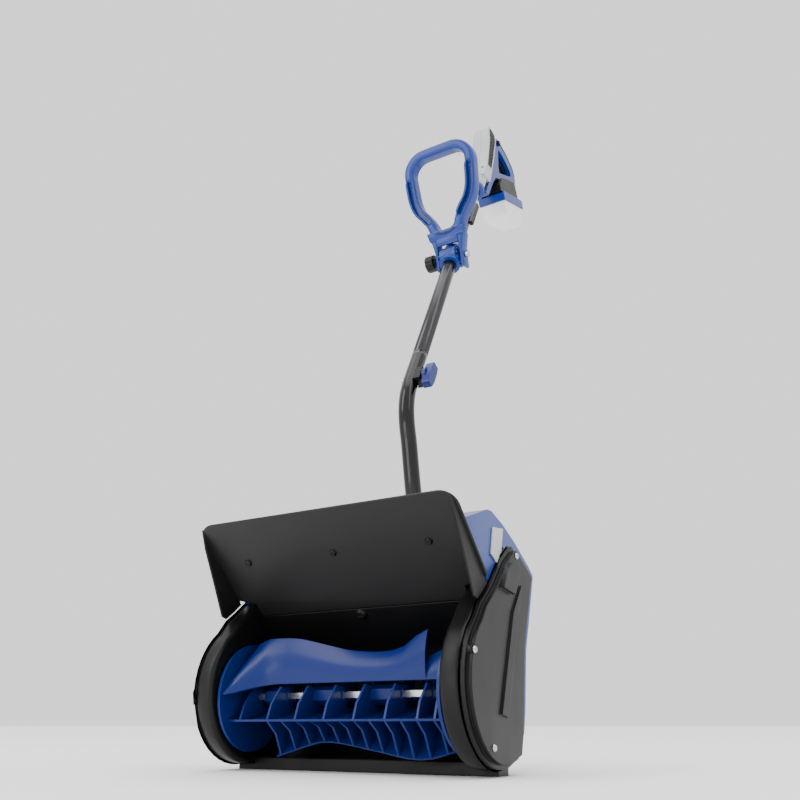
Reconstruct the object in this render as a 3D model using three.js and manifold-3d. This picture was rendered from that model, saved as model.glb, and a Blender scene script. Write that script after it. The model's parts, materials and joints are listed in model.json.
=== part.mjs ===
// Cordless snow shovel: a paddle auger in a wide housing, on a bent pole with two handles.
// Millimetres. X runs across the machine, +Y towards the user, +Z up. The origin is the middle of the
// scraper's underside, which rests on the ground.
import * as THREE from "three";
import { mergeVertices } from "three/addons/utils/BufferGeometryUtils.js";
import Module from "manifold-3d";

const wasm = await Module();
wasm.setup();

// ---------- driving dimensions ----------
const GAP = 0.3; // clearance between pieces that touch

const HEAD_WIDTH = 372; // over the two side walls
const WALL_DEPTH = 26; // one side wall, inner face to outer rim
const SKIN = 4; // moulded wall thickness of the black housing
const THIN_SKIN = 3; // moulded wall thickness of covers and handles
const COVER_DEPTH = 12; // belt cover, rim to outer face

const AUGER_Y = -24;
const AUGER_Z = 87;
const AUGER_RADIUS = 72; // tips of the paddles
const DISC_RADIUS = 66;
const AUGER_END_GAP = 3; // disc to side wall
const SHAFT_FLATS = 13; // hexagon across flats
const HUB_FLATS = 21; // hexagonal sleeve across flats
const DISC_THICKNESS = 4;
const RIB_THICKNESS = 3;
const RIB_PITCH = 42;
const FIRST_RIB_X = -92;
const MAIN_RIBS = 6;

const TROUGH_Y = -22;
const TROUGH_Z = 91;
const TROUGH_RADIUS = 80;

const WALL_ARC_Y = -12;
const WALL_ARC_Z = 95;
const WALL_ARC_RADIUS = 88;

const DEFLECTOR_WIDTH = HEAD_WIDTH + 13;
const DEFLECTOR_TOP_Z = 299;
const DEFLECTOR_SEAM_Z = 192;
const DEFLECTOR_SCREW_Z = 254;
const DEFLECTOR_SCREW_X = 137;
const FIN_X = HEAD_WIDTH / 2 + 1;
const FIN_THICKNESS = 3;

const SCRAPER_HEIGHT = 6;
const SCRAPER_LENGTH = 18;
const SCRAPER_WIDTH = HEAD_WIDTH - 2;
const SCRAPER_LIP = 10; // depth of the bar ahead of the trough

const PULLEY_WIDTH = 9;
const DRIVEN_PULLEY_RADIUS = 38;
const MOTOR_PULLEY_RADIUS = 12;
const BELT_THICKNESS = 3;
const MOTOR_Y = 42;
const MOTOR_Z = 205;
const MOTOR_RADIUS = 26;
const MOTOR_LENGTH = 92;
const MOTOR_SHAFT_RADIUS = 4;
const BEARING_RADIUS = 13;
const BEARING_WIDTH = 7;

const TUBE_RADIUS = 12.7;
const TUBE_WALL = 1.5;
const TUBE_SIDES = 12;
const POLE_ANGLE = 27; // degrees from upright, leaning to the user
const JOINT_Y = 160.3; // top end of the bent tube
const JOINT_Z = 622;
const UPPER_TUBE_LENGTH = 430;
const TOP_TUBE_RADIUS = 11.2;
const POLE_LENGTH = 620; // the two straight tubes together
const TOP_TUBE_LENGTH = POLE_LENGTH - UPPER_TUBE_LENGTH;
const COLLAR_FROM = 536; // main handle's collar, along the upper pole
const GUARD_MIDDLE = COLLAR_FROM - 91;

const AUX_ALONG = 288; // D handle's place along the upper pole, from the joint
const AUX_LEAN = 39; // degrees from the pole, leaning away from the user
const AUX_WIDTH = 150;
const AUX_HEIGHT = 232;
const AUX_DEPTH = 30;
const AUX_BAR = 19; // thickness of the rim and grip bar
const AUX_KNOB_RADIUS = 16;

const GRIP_WIDTH = 36; // main handle, across
const HANDLE_WIDTH = 40;
const BATTERY_TILT = 20.5; // degrees, rising to the rear
const BATTERY_WIDTH = 62;
const BATTERY_LENGTH = 117;
const BATTERY_BASE_HEIGHT = 20;
const BATTERY_CASE_HEIGHT = 42;
const BATTERY_Y = 497;
const BATTERY_Z = 1154;

// ---------- colours ----------
const BLACK = { color: 0x1b1b1d, roughness: 0.45, metalness: 0 };
const CHARCOAL = { color: 0x2b2a2b, roughness: 0.5, metalness: 0 };
const BLUE = { color: 0x1f4fa3, roughness: 0.35, metalness: 0 };
const STEEL = { color: 0xc9ccd0, roughness: 0.25, metalness: 1 };
const GREY = { color: 0xb9bbbd, roughness: 0.4, metalness: 0 };
const RUBBER = { color: 0x161616, roughness: 0.8, metalness: 0 };
const CLOUDY = { color: 0xeceeee, roughness: 0.4, metalness: 0 };
const BRASS = { color: 0xc7a45a, roughness: 0.35, metalness: 1 };
const PAINTED = { color: 0x0c0c0d, roughness: 0.2, metalness: 0.3 };

// ---------- solids ----------
function solid(geometry) {
  const bare = geometry.clone();
  bare.deleteAttribute("normal");
  bare.deleteAttribute("uv");
  const merged = mergeVertices(bare, 1e-4);
  const mesh = { numProp: 3, vertProperties: merged.attributes.position.array, triVerts: merged.index.array };
  mesh.triVerts = new Uint32Array(mesh.triVerts);
  return new wasm.Manifold(new wasm.Mesh(mesh));
}

function geometryOf(manifold) {
  const mesh = manifold.getMesh();
  const geometry = new THREE.BufferGeometry();
  geometry.setAttribute("position", new THREE.BufferAttribute(new Float32Array(mesh.vertProperties), 3));
  geometry.setIndex(new THREE.BufferAttribute(new Uint32Array(mesh.triVerts), 1));
  geometry.computeVertexNormals();
  return geometry;
}

function cut(base, ...tools) {
  return tools.reduce((left, tool) => left.subtract(tool), base);
}

function join(base, ...more) {
  return more.reduce((left, piece) => left.add(piece), base);
}

const radians = THREE.MathUtils.degToRad;

// Points of an arc in a plane, from one angle to another, in degrees.
function arc(centreU, centreV, radius, from, to, steps) {
  return Array.from({ length: steps + 1 }, (_, i) => {
    const angle = radians(from + ((to - from) * i) / steps);
    return [centreU + radius * Math.cos(angle), centreV + radius * Math.sin(angle)];
  });
}

function shapeOf(points, holes = []) {
  const shape = new THREE.Shape(points.map(([u, v]) => new THREE.Vector2(u, v)));
  holes.forEach((hole) => shape.holes.push(new THREE.Path(hole.map(([u, v]) => new THREE.Vector2(u, v)))));
  return shape;
}

// A side outline of (y, z) points, given a thickness from x0 to x1.
function sideSlab(points, x0, x1, holes = []) {
  const options = { depth: x1 - x0, bevelEnabled: false };
  const geometry = new THREE.ExtrudeGeometry(shapeOf(points, holes), options);
  const turn = new THREE.Matrix4().makeBasis(
    new THREE.Vector3(0, 1, 0),
    new THREE.Vector3(0, 0, 1),
    new THREE.Vector3(1, 0, 0),
  );
  return geometry.applyMatrix4(turn).translate(x0, 0, 0);
}

// A front outline of (x, z) points, given a thickness from y0 to y1.
function frontSlab(points, y0, y1, holes = []) {
  const options = { depth: y1 - y0, bevelEnabled: false };
  const geometry = new THREE.ExtrudeGeometry(shapeOf(points, holes), options);
  return geometry.rotateX(Math.PI / 2).translate(0, y1, 0);
}

// A round bar or disc along X.
function barX(radius, x0, x1, sides, y = 0, z = 0) {
  const geometry = new THREE.CylinderGeometry(radius, radius, x1 - x0, sides);
  return geometry.rotateZ(-Math.PI / 2).translate((x0 + x1) / 2, y, z);
}

function barZ(radius, z0, z1, sides, topRadius = radius) {
  const geometry = new THREE.CylinderGeometry(topRadius, radius, z1 - z0, sides);
  return geometry.rotateX(Math.PI / 2).translate(0, 0, (z0 + z1) / 2);
}

function hexX(flats, x0, x1) {
  return barX(flats / Math.sqrt(3), x0, x1, 6);
}

// The outline moved outwards by a distance (inwards when negative), corner by corner.
function offset(points, distance) {
  const count = points.length;
  const area = points.reduce((sum, [u, v], i) => {
    const [nextU, nextV] = points[(i + 1) % count];
    return sum + u * nextV - nextU * v;
  }, 0);
  const side = Math.sign(area) * distance;
  return points.map(([u, v], i) => {
    const [lastU, lastV] = points[(i + count - 1) % count];
    const [nextU, nextV] = points[(i + 1) % count];
    const before = new THREE.Vector2(u - lastU, v - lastV).normalize();
    const after = new THREE.Vector2(nextU - u, nextV - v).normalize();
    const normal = new THREE.Vector2(before.y + after.y, -before.x - after.x).normalize();
    const reach = side / Math.max(0.35, normal.dot(new THREE.Vector2(before.y, -before.x)));
    return [u + normal.x * reach, v + normal.y * reach];
  });
}

const model = new THREE.Group();

function add(group, name, shape, finish) {
  const geometry = shape.isBufferGeometry ? shape : geometryOf(shape);
  const mesh = new THREE.Mesh(geometry, new THREE.MeshStandardMaterial(finish));
  mesh.name = name;
  group.add(mesh);
  return mesh;
}

// ---------- housing ----------
const halfWidth = HEAD_WIDTH / 2;
const innerX = halfWidth - WALL_DEPTH;

// The line of the deflector's face: y + z stays the same along it.
const slope = Math.SQRT1_2;
const faceSum = TROUGH_Y + TROUGH_Z + 2 * slope * TROUGH_RADIUS;
function onFace(z, behind) {
  return [faceSum - z + behind * slope, z + behind * slope];
}

const wallOutline = [
  [-37, 193],
  [-52, 182],
  ...arc(WALL_ARC_Y, WALL_ARC_Z, WALL_ARC_RADIUS, 128, 292, 22),
  [36, 17],
  [44, 40],
  [50, 71],
  [63, 141],
  [77, 176],
  [101, 232],
  [82, 244],
  [46, 263],
  [11, 238],
  [-16, 210],
];

const troughFrom = -73;
const troughOutline = [
  ...arc(TROUGH_Y, TROUGH_Z, TROUGH_RADIUS, troughFrom, 45, 22),
  onFace(DEFLECTOR_SEAM_Z, 0),
  onFace(DEFLECTOR_SEAM_Z, SKIN + GAP),
  onFace(DEFLECTOR_SCREW_Z + 10, SKIN + GAP),
  onFace(DEFLECTOR_SCREW_Z + 10, 2 * SKIN + GAP),
  ...arc(TROUGH_Y, TROUGH_Z, TROUGH_RADIUS + SKIN, 45, troughFrom, 22),
];

function screwHoles(radius) {
  return [-DEFLECTOR_SCREW_X, 0, DEFLECTOR_SCREW_X].map((x) => faceBar(radius, x, DEFLECTOR_SCREW_Z, -4, 14));
}

// A round bar square to the deflector's face, from one depth behind it to another.
function faceBar(radius, x, z, from, to, sides = 12) {
  const [y, height] = onFace(z, 0);
  return solid(barZ(radius, from, to, sides).rotateX(-Math.PI / 4).translate(x, y, height));
}

function makeTrough() {
  const shell = solid(sideSlab(troughOutline, -innerX + GAP, innerX - GAP));
  const mouth = faceBar(5.2, 0, 186, -4, 14);
  return cut(shell, mouth, ...screwHoles(2.7));
}

function makeSideWall(side) {
  const outer = solid(sideSlab(wallOutline, innerX, halfWidth));
  const pocket = solid(sideSlab(offset(wallOutline, -SKIN), innerX + SKIN, halfWidth + 1));
  const bearingSeat = solid(barX(BEARING_RADIUS + GAP, innerX - 1, halfWidth, 24, AUGER_Y, AUGER_Z));
  const bossEnd = innerX + BEARING_WIDTH + 1;
  const boss = solid(barX(BEARING_RADIUS + SKIN, innerX + SKIN - 1, bossEnd, 24, AUGER_Y, AUGER_Z));
  const motorHole = solid(barX(MOTOR_SHAFT_RADIUS + 2, innerX - 1, halfWidth, 16, MOTOR_Y, MOTOR_Z));
  const posts = screwPosts().map(([y, z]) => {
    const post = solid(barX(5, innerX + SKIN - 1, halfWidth - 0.01, 10, y, z));
    return cut(post, solid(barX(2.2, halfWidth - 16, halfWidth + 1, 10, y, z)));
  });
  const wall = join(cut(outer, pocket), boss, ...posts);
  const bored = cut(wall, bearingSeat, ...(side > 0 ? [motorHole] : []));
  return side > 0 ? bored : bored.mirror([1, 0, 0]);
}

function screwPosts() {
  return [
    [-86, 128],
    [-45, 30],
    [46, 250],
  ];
}

add(model, "housing_trough", makeTrough(), BLACK);
add(model, "right_side_wall", makeSideWall(1), BLACK);
add(model, "left_side_wall", makeSideWall(-1), BLACK);

// ---------- deflector ----------
function makeDeflector() {
  const half = DEFLECTOR_WIDTH / 2;
  const length = (DEFLECTOR_TOP_Z - DEFLECTOR_SEAM_Z) / slope;
  const corner = 22;
  const neck = innerX - GAP;
  const shoulder = 26;
  const outline = [
    [-neck, 0.6],
    [neck, 0.6],
    [neck, shoulder - 6],
    [half, shoulder + 6],
    ...arc(half - corner, length - corner, corner, 0, 90, 6),
    ...arc(-half + corner, length - corner, corner, 90, 180, 6),
    [-half, shoulder + 6],
    [-neck, shoulder - 6],
  ];
  const plate = new THREE.ExtrudeGeometry(shapeOf(outline), { depth: SKIN, bevelEnabled: false });
  const [y, z] = onFace(DEFLECTOR_SEAM_Z, 0);
  // The plate is drawn flat, then stood up along the face.
  plate.translate(0, 0, -SKIN).rotateX(Math.PI - Math.PI / 4).translate(0, y, z);
  const finOutline = [
    onFace(DEFLECTOR_TOP_Z - 3, 1),
    [-104, 272],
    [-80, 226],
    [-61, 188],
    [-52, 185.5],
    [-37, 196.5],
    [-21, 210.5],
    onFace(208, 1),
  ];
  const fins = [-1, 1].map((side) => {
    const x = side * FIN_X;
    return solid(sideSlab(finOutline, x - FIN_THICKNESS / 2, x + FIN_THICKNESS / 2));
  });
  return cut(join(solid(plate), ...fins), ...screwHoles(2.7));
}

add(model, "deflector", makeDeflector(), CHARCOAL);

function makeScrew(headRadius, headHeight, shankRadius, length) {
  const head = barZ(headRadius, 0, headHeight, 14, headRadius * 0.7);
  const shank = barZ(shankRadius, -length, 0.2, 10);
  const recess = solid(new THREE.BoxGeometry(headRadius, 1.2, 1.6).translate(0, 0, headHeight));
  return cut(join(solid(head), solid(shank)), recess);
}

["left", "centre", "right"].forEach((side, i) => {
  const screw = add(model, `deflector_screw_${side}`, makeScrew(5, 2.6, 2.3, 10), BLACK);
  const [y, z] = onFace(DEFLECTOR_SCREW_Z, -GAP);
  screw.position.set((i - 1) * DEFLECTOR_SCREW_X, y, z);
  screw.rotation.x = (3 * Math.PI) / 4;
});

const troughBolt = add(model, "trough_bolt", makeScrew(8.5, 4, 4.8, 10), BLACK);
troughBolt.position.set(0, ...onFace(186, -GAP));
troughBolt.rotation.x = (3 * Math.PI) / 4;

// ---------- scraper ----------
const troughLow = arc(TROUGH_Y, TROUGH_Z, TROUGH_RADIUS + SKIN + GAP, troughFrom, troughFrom, 1)[0];
function makeScraper() {
  const underTrough = arc(TROUGH_Y, TROUGH_Z, TROUGH_RADIUS + SKIN + GAP, troughFrom, troughFrom + 20, 5);
  const outline = [
    [troughLow[0] - SCRAPER_LIP, 0],
    [troughLow[0] + SCRAPER_LENGTH, 0],
    [troughLow[0] + SCRAPER_LENGTH, SCRAPER_HEIGHT],
    ...underTrough.reverse(),
    [troughLow[0] - SCRAPER_LIP + 1, troughLow[1] + SKIN],
  ];
  const bar = solid(sideSlab(outline, -SCRAPER_WIDTH / 2, SCRAPER_WIDTH / 2));
  const walls = [-1, 1].map((side) => {
    const x0 = side > 0 ? innerX - GAP : -halfWidth - 1;
    const x1 = side > 0 ? halfWidth + 1 : -innerX + GAP;
    return solid(sideSlab(offset(wallOutline, GAP), x0, x1));
  });
  return cut(bar, ...walls);
}

add(model, "scraper_bar", makeScraper(), BLACK);

// ---------- side covers ----------
const coverOutline = wallOutline;

function makeBeltCover() {
  const outerFace = offset(coverOutline, -5);
  const rim = solid(sideSlab(coverOutline, halfWidth + GAP, halfWidth + COVER_DEPTH / 2));
  const plate = solid(sideSlab(outerFace, halfWidth + COVER_DEPTH / 2 - 1, halfWidth + COVER_DEPTH));
  const hollow = solid(sideSlab(offset(coverOutline, -9), halfWidth - 1, halfWidth + COVER_DEPTH - THIN_SKIN));
  const holes = screwPosts().map(([y, z]) => solid(barX(2.7, halfWidth - 1, halfWidth + 20, 10, y, z)));
  const postEnd = halfWidth + COVER_DEPTH - 1;
  const posts = screwPosts().map(([y, z]) => solid(barX(6, halfWidth + GAP, postEnd, 12, y, z)));
  const strip = [
    [-24, 64],
    [22, 178],
    [52, 214],
    [48, 200],
    [16, 120],
    [-8, 60],
  ];
  const block = [
    [4, 226],
    [-8, 204],
    [26, 200],
    [50, 236],
    [24, 238],
  ];
  const face = halfWidth + COVER_DEPTH;
  const raised = [sideSlab(strip, face - 1, face + 2.5), sideSlab(block, face - 1, face + 5)].map(solid);
  return cut(join(rim, plate, ...raised).subtract(hollow).add(posts[0]).add(posts[1]).add(posts[2]), ...holes);
}

// The left side is closed by a flush plate that sits inside the wall's rim.
function makeEndCover() {
  const plate = solid(sideSlab(offset(wallOutline, -SKIN - GAP), halfWidth - THIN_SKIN - 1, halfWidth - 1));
  const seats = screwPosts().map(([y, z]) => solid(barX(5 + GAP, halfWidth - 10, halfWidth + 1, 12, y, z)));
  return cut(plate, ...seats).mirror([1, 0, 0]);
}

add(model, "belt_cover", makeBeltCover(), BLACK);
add(model, "left_end_cover", makeEndCover(), BLACK);

screwPosts().forEach(([y, z], i) => {
  const name = `belt_cover_screw_${["front", "lower", "upper"][i]}`;
  const screw = add(model, name, makeScrew(4.2, 2, 1.9, 22), STEEL);
  screw.position.set(halfWidth + COVER_DEPTH + GAP, y, z);
  screw.rotation.y = Math.PI / 2;
});

// ---------- drive ----------
function ring(outer, inner, x0, x1, sides = 28) {
  return cut(solid(barX(outer, x0, x1, sides)), solid(barX(inner, x0 - 1, x1 + 1, sides)));
}

const shaftRadius = SHAFT_FLATS / 2 - 0.5; // turned ends of the hexagonal shaft
const pulleyX = innerX + SKIN + BEARING_WIDTH + 3;
[1, -1].forEach((side) => {
  const name = side > 0 ? "right_bearing" : "left_bearing";
  const bearing = add(model, name, ring(BEARING_RADIUS, shaftRadius + GAP, 0, BEARING_WIDTH, 24), STEEL);
  bearing.position.set(side > 0 ? innerX + 1 : -innerX - 1 - BEARING_WIDTH, AUGER_Y, AUGER_Z);
});

const auger = new THREE.Group();
auger.position.set(0, AUGER_Y, AUGER_Z);
model.add(auger);

const augerEnd = innerX - AUGER_END_GAP;
function makeShaft() {
  const hexagon = solid(hexX(SHAFT_FLATS, -augerEnd + 1, augerEnd - 1));
  const journal = solid(barX(shaftRadius, -innerX - BEARING_WIDTH - 3, pulleyX + PULLEY_WIDTH + 6, 20));
  return join(hexagon, journal);
}
add(auger, "auger_shaft", makeShaft(), STEEL);

const boreFlats = SHAFT_FLATS + 2 * GAP;
function makeDisc(side) {
  const disc = solid(barX(DISC_RADIUS, augerEnd - DISC_THICKNESS, augerEnd, 40));
  const hub = solid(barX(HUB_FLATS / 2 + 2, augerEnd - 14, augerEnd - 1, 20));
  const made = cut(join(disc, hub), solid(hexX(boreFlats, 0, augerEnd + 1)));
  return side > 0 ? made : made.mirror([1, 0, 0]);
}
add(auger, "right_auger_disc", makeDisc(1), BLUE);
add(auger, "left_auger_disc", makeDisc(-1), BLUE);

// ---------- paddles ----------
const paddleEnd = augerEnd - DISC_THICKNESS - GAP;
const ribXs = Array.from({ length: MAIN_RIBS }, (_, i) => FIRST_RIB_X + i * RIB_PITCH);
const lip = [-19, 14]; // lower edge of the upper scoop, (y, z) from the shaft's axis
const floorLip = [-47, -29]; // front edge of the lower paddle's floor
const SHEET = 2.6; // thickness of the paddles' sheets
const PADDLE_STEPS = 16;

// Height of a paddle's outer edge along the shaft, as (x, share of the auger's radius).
const upperWave = [
  [-153, 0.6],
  [-144, 0.84],
  [-126, 0.98],
  [-100, 1],
  [-70, 0.97],
  [-32, 0.85],
  [5, 0.73],
  [39, 0.685],
  [65, 0.69],
  [87, 0.78],
  [102, 0.93],
  [115, 1],
];
const lowerWave = [
  [-96, 1],
  [-82, 0.93],
  [-62, 0.85],
  [-35, 0.76],
  [-8, 0.77],
  [25, 0.84],
  [56, 0.91],
  [87, 0.985],
  [116, 0.99],
  [142, 0.9],
  [150, 0.86],
];

// The share of the radius that a wave gives at x, on a smooth curve through its points.
function waveAt(wave, x) {
  const curve = new THREE.SplineCurve(wave.map(([u, v]) => new THREE.Vector2(u, v)));
  let low = 0;
  let high = 1;
  for (let i = 0; i < 24; i += 1) {
    const middle = (low + high) / 2;
    if (curve.getPoint(middle).x < x) low = middle;
    else high = middle;
  }
  return Math.min(curve.getPoint(low).y, 1);
}

// A bent sheet along the shaft. rootAt(x) and tipAt(x) give its two edges as (y, z); it bows forward by bulge.
function bentSheet(from, to, rootAt, tipAt, bulge) {
  const across = 4;
  const geometry = new THREE.BoxGeometry(1, 1, 1, PADDLE_STEPS, across, 1);
  const place = geometry.attributes.position;
  for (let i = 0; i < place.count; i += 1) {
    const x = from + (to - from) * (place.getX(i) + 0.5);
    const t = place.getY(i) + 0.5;
    const root = rootAt(x);
    const tip = tipAt(x);
    const chord = new THREE.Vector2(tip[0] - root[0], tip[1] - root[1]);
    const normal = new THREE.Vector2(-chord.y, chord.x).normalize();
    const lift = 4 * bulge * t * (1 - t) + place.getZ(i) * SHEET;
    place.setXYZ(i, x, root[0] + chord.x * t + normal.x * lift, root[1] + chord.y * t + normal.y * lift);
  }
  const made = solid(geometry);
  return made.volume() < 0 ? solid(flipped(geometry)) : made;
}

function flipped(geometry) {
  const index = geometry.index.array;
  for (let i = 0; i < index.length; i += 3) {
    [index[i + 1], index[i + 2]] = [index[i + 2], index[i + 1]];
  }
  return geometry;
}

const tipAngleUpper = 101; // degrees from +Y, seen from -X towards +X
const tipAngleLower = 258;

function tipOf(angle, share) {
  const reach = AUGER_RADIUS * share;
  return [reach * Math.cos(radians(angle)), reach * Math.sin(radians(angle))];
}

function ribPlate(outline, x) {
  return solid(sideSlab(outline, x - RIB_THICKNESS / 2, x + RIB_THICKNESS / 2));
}

function makeUpperPaddle() {
  const flare = (x) => {
    const t = THREE.MathUtils.smoothstep(-x, 104, paddleEnd);
    return [lip[0] - 42 * t, lip[1] - 12 * t];
  };
  const right = ribXs[MAIN_RIBS - 1] - 2;
  const scoop = bentSheet(-paddleEnd, right, flare, (x) => tipOf(tipAngleUpper, waveAt(upperWave, x)), 5);
  const step = (x) => tipOf(tipAngleUpper - 2, 0.58 + (0.2 * (x - right)) / (paddleEnd - right));
  const shelf = bentSheet(right - 2, paddleEnd, () => lip, step, 3);
  const floorPlate = bentSheet(
    -paddleEnd,
    paddleEnd,
    () => [lip[0] - 1, lip[1] + 1.6],
    () => [-floorLip[0], -floorLip[1] + 4],
    3,
  );
  const ribs = [...ribXs, ribXs[MAIN_RIBS - 1] + 24].map((x) => {
    const share = waveAt(upperWave, Math.min(-x, 118));
    const tip = tipOf(tipAngleUpper - 8, share * 0.93);
    return ribPlate([[lip[0] + 2, lip[1] + 2], [-floorLip[0] - 1, -floorLip[1] + 3], tip], -x);
  });
  const legs = ribXs.map((x) => {
    const outline = [[-floorLip[0] - 2, -floorLip[1] + 4], [10, 22], [1, 10], [3, -8], [17, -11]];
    return ribPlate(outline, -x + RIB_PITCH / 2);
  });
  return join(scoop, shelf, floorPlate, ...ribs, ...legs);
}

function makeLowerPaddle() {
  const left = -98;
  const lowerTip = (x) => tipOf(tipAngleLower, waveAt(lowerWave, x));
  const scoop = bentSheet(left, paddleEnd, () => [20, -15.5], lowerTip, 5);
  const floorPlate = bentSheet(-paddleEnd, paddleEnd, () => floorLip, () => [20, -16], -3);
  const half = RIB_PITCH / 2;
  const toothXs = ribXs.flatMap((x) => [x, x + half]).concat(ribXs[MAIN_RIBS - 1] + 2 * half - 13);
  const teeth = toothXs.map((x) => {
    const [tipY, tipZ] = tipOf(tipAngleLower, waveAt(lowerWave, x));
    const bow = [(floorLip[0] + tipY) / 2 + 3, (floorLip[1] + tipZ) / 2 + 5];
    return ribPlate([floorLip, bow, [tipY, tipZ], [18, -17]], x);
  });
  const uprights = [FIRST_RIB_X - 43, ...ribXs, ribXs[MAIN_RIBS - 1] + 22].map((x) =>
    ribPlate([floorLip, [-40, -10], [lip[0] - 3, lip[1] - 3], [-12, 10], [-3, 11], [-2, -12], [10, -15], [18, -17]], x),
  );
  const sleeveCells = [ribXs[0] - 34, ribXs[1], ribXs[3]];
  const sleeves = sleeveCells.map((x) => solid(hexX(HUB_FLATS, x, x + (x < ribXs[0] ? 34 : RIB_PITCH))));
  const collars = ribXs.map((x) => solid(hexX(HUB_FLATS, x - 3, x + 3)));
  return join(floorPlate, scoop, ...teeth, ...uprights, ...sleeves, ...collars);
}

function makePaddles() {
  const bore = solid(hexX(boreFlats, -innerX, innerX));
  const hubs = [1, -1].map((side) => {
    const x0 = side > 0 ? augerEnd - 14 - GAP : -augerEnd;
    return solid(barX(HUB_FLATS / 2 + 2 + GAP, x0, x0 + 14 + GAP, 20));
  });
  const lower = biggest(cut(makeLowerPaddle(), bore, ...hubs));
  const grown = [
    [0, GAP, 0],
    [0, -GAP, 0],
    [0, 0, GAP],
    [0, 0, -GAP],
    [GAP, 0, 0],
    [-GAP, 0, 0],
    [0, 0, 0],
  ].map((step) => lower.translate(step));
  const upper = cut(makeUpperPaddle(), bore, ...hubs, ...grown);
  return [lower, biggest(upper)];
}

// The largest of the bodies that a cut leaves.
function biggest(manifold) {
  return manifold.decompose().sort((a, b) => b.volume() - a.volume())[0];
}

const [lowerPaddle, upperPaddle] = makePaddles();
add(auger, "lower_paddle", lowerPaddle, BLUE);
add(auger, "upper_paddle", upperPaddle, BLUE);

// ---------- belt drive ----------
const driveX = pulleyX; // inner face of both pulleys
function makePulley(radius, bore) {
  const groove = PULLEY_WIDTH - 2;
  const outer = solid(barX(radius + 2.5, 0, PULLEY_WIDTH, 36));
  const slot = ring(radius + 10, radius, 1, 1 + groove, 36);
  return cut(outer, slot, solid(barX(bore, -1, PULLEY_WIDTH + 1, 20)));
}

const drivenPulley = add(auger, "driven_pulley", makePulley(DRIVEN_PULLEY_RADIUS, shaftRadius + GAP), BLACK);
drivenPulley.position.x = driveX;
const nut = cut(solid(hexX(17, 0, 5)), solid(barX(shaftRadius + GAP, -1, 6, 20)));
add(auger, "shaft_nut", nut, STEEL).position.x = driveX + PULLEY_WIDTH + GAP;

function makeBelt() {
  const rise = [MOTOR_Y - AUGER_Y, MOTOR_Z - AUGER_Z];
  const span = Math.hypot(...rise);
  const heading = THREE.MathUtils.radToDeg(Math.atan2(rise[1], rise[0]));
  const loop = (extra) => {
    const large = DRIVEN_PULLEY_RADIUS + GAP + extra;
    const small = MOTOR_PULLEY_RADIUS + GAP + extra;
    const wrap = THREE.MathUtils.radToDeg(Math.acos((large - small) / span));
    return [
      ...arc(AUGER_Y, AUGER_Z, large, heading + wrap, heading + 360 - wrap, 26),
      ...arc(MOTOR_Y, MOTOR_Z, small, heading - wrap, heading + wrap, 12),
    ];
  };
  const x0 = driveX + 1 + GAP;
  return sideSlab(loop(BELT_THICKNESS), x0, driveX + PULLEY_WIDTH - 1 - GAP, [loop(0)]);
}
add(model, "drive_belt", makeBelt(), RUBBER);

const motor = new THREE.Group();
motor.position.set(0, MOTOR_Y, MOTOR_Z);
model.add(motor);
const motorEnd = innerX - 12;
const can = cut(
  join(
    solid(barX(MOTOR_RADIUS, motorEnd - MOTOR_LENGTH, motorEnd, 28)),
    solid(barX(10, motorEnd - MOTOR_LENGTH - 6, motorEnd, 16)),
  ),
  solid(barX(MOTOR_SHAFT_RADIUS + GAP, motorEnd - 40, motorEnd + 1, 16)),
);
add(motor, "motor", can, STEEL);
const plateOuter = solid(barX(MOTOR_RADIUS + 6, motorEnd + GAP, innerX - GAP, 28));
const mountPlate = cut(plateOuter, solid(barX(MOTOR_SHAFT_RADIUS + 2, motorEnd - 1, innerX + 1, 16)));
add(motor, "motor_mount", mountPlate, BLACK);
const rotor = join(
  solid(barX(MOTOR_SHAFT_RADIUS, motorEnd - 38, driveX + PULLEY_WIDTH + 2, 16)),
  makePulley(MOTOR_PULLEY_RADIUS, 0.01).translate([driveX, 0, 0]),
);
add(motor, "motor_shaft", rotor, STEEL);

// ---------- rear cover ----------
const sideX = halfWidth;
const coverSide = [
  [-66, 253],
  [-52, 282],
  [28, 310],
  [42, 311],
  [70, 298],
  [96, 279],
  [125, 250],
  [131, 240],
  [107, 177],
  [92, 141],
  [79, 71],
  [72, 46],
  [62, 30],
  [50, 27],
  ...arc(TROUGH_Y, TROUGH_Z, TROUGH_RADIUS + SKIN + 6, -36, 40, 12),
];
const coverFront = [
  [-sideX, 0],
  [sideX, 0],
  [sideX, 236],
  [sideX - 6, 262],
  [sideX - 20, 322],
  [-sideX + 20, 322],
  [-sideX + 6, 262],
  [-sideX, 236],
];

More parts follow.
